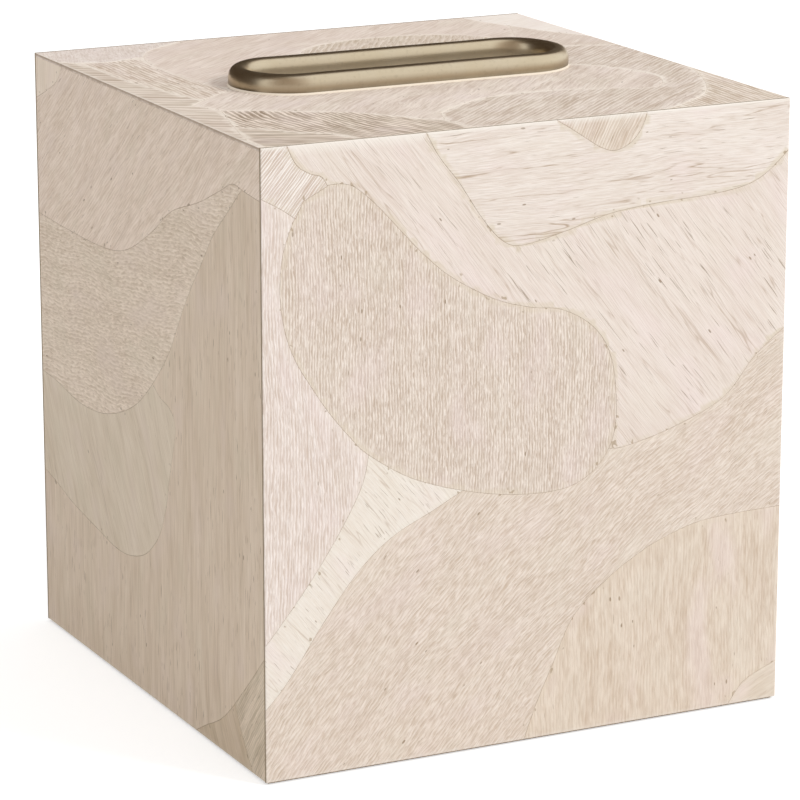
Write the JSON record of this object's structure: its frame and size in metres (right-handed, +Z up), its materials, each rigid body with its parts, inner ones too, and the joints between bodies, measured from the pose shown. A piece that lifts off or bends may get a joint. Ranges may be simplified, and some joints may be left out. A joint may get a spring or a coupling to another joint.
{
  "type": "tissue box cover",
  "caption": "Cube tissue box cover, open underneath, with patchwork veneer sides and a rounded metal ring around the slot in its lid.",
  "frame": {"origin": "on the surface it stands on, under the middle of the box", "axes": "+Z up, +X to the right along the slot, the front face with the large rounded leaf faces -Y"},
  "size_m": [0.14, 0.14, 0.1574],
  "materials": {
    "board": "raw fibreboard, matt, seen only underneath",
    "backing": "plain bleached veneer, matt",
    "veneer_cream": "bleached veneer, matt, palest, short dark pores",
    "veneer_blush": "bleached veneer, matt, pink cast",
    "veneer_oat": "bleached veneer, matt, warm grain",
    "veneer_tan": "bleached veneer, matt, strongest grain",
    "ring": "antiqued brass, satin, slightly pitted"
  },
  "bodies": {
    "root": {"front_board": "board", "back_board": "board", "left_board": "board", "right_board": "board", "lid_board": "board", "front_backing": "backing", "back_backing": "backing", "left_backing": "backing", "right_backing": "backing", "lid_backing": "backing", "front_band_leaf": "veneer_oat", "front_base_leaf": "veneer_oat", "front_toe_leaf": "veneer_cream", "front_spike_leaf": "veneer_cream", "front_side_leaf": "veneer_blush", "front_slant_leaf": "veneer_blush", "front_upper_leaf": "veneer_cream", "front_notch_leaf": "veneer_tan", "front_blob_leaf": "veneer_oat", "front_tip_leaf": "veneer_blush", "left_heel_leaf": "veneer_tan", "left_wedge_leaf": "veneer_oat", "left_tall_leaf": "veneer_oat", "left_low_leaf": "veneer_tan", "left_middle_leaf": "veneer_oat", "left_shoulder_leaf": "veneer_oat", "left_tip_leaf": "veneer_cream", "right_tall_leaf": "veneer_oat", "right_sweep_leaf": "veneer_blush", "right_shoulder_leaf": "veneer_cream", "right_lobe_leaf": "veneer_tan", "right_toe_leaf": "veneer_cream", "right_tip_leaf": "veneer_oat", "back_tall_leaf": "veneer_blush", "back_sweep_leaf": "veneer_oat", "back_upper_leaf": "veneer_cream", "back_lobe_leaf": "veneer_oat", "back_toe_leaf": "veneer_cream", "back_notch_leaf": "veneer_tan", "lid_right_leaf": "veneer_oat", "lid_band_leaf": "veneer_tan", "lid_corner_leaf": "veneer_blush", "lid_hatched_leaf": "veneer_tan", "lid_rear_leaf": "veneer_blush", "lid_lens_leaf": "veneer_tan", "lid_cream_leaf": "veneer_cream", "lid_heel_leaf": "veneer_oat", "lid_front_leaf": "veneer_tan", "lid_edge_leaf": "veneer_oat", "lid_centre_leaf": "veneer_blush", "lid_toe_leaf": "veneer_tan", "slot_ring": "ring"}
  },
  "joints": []
}
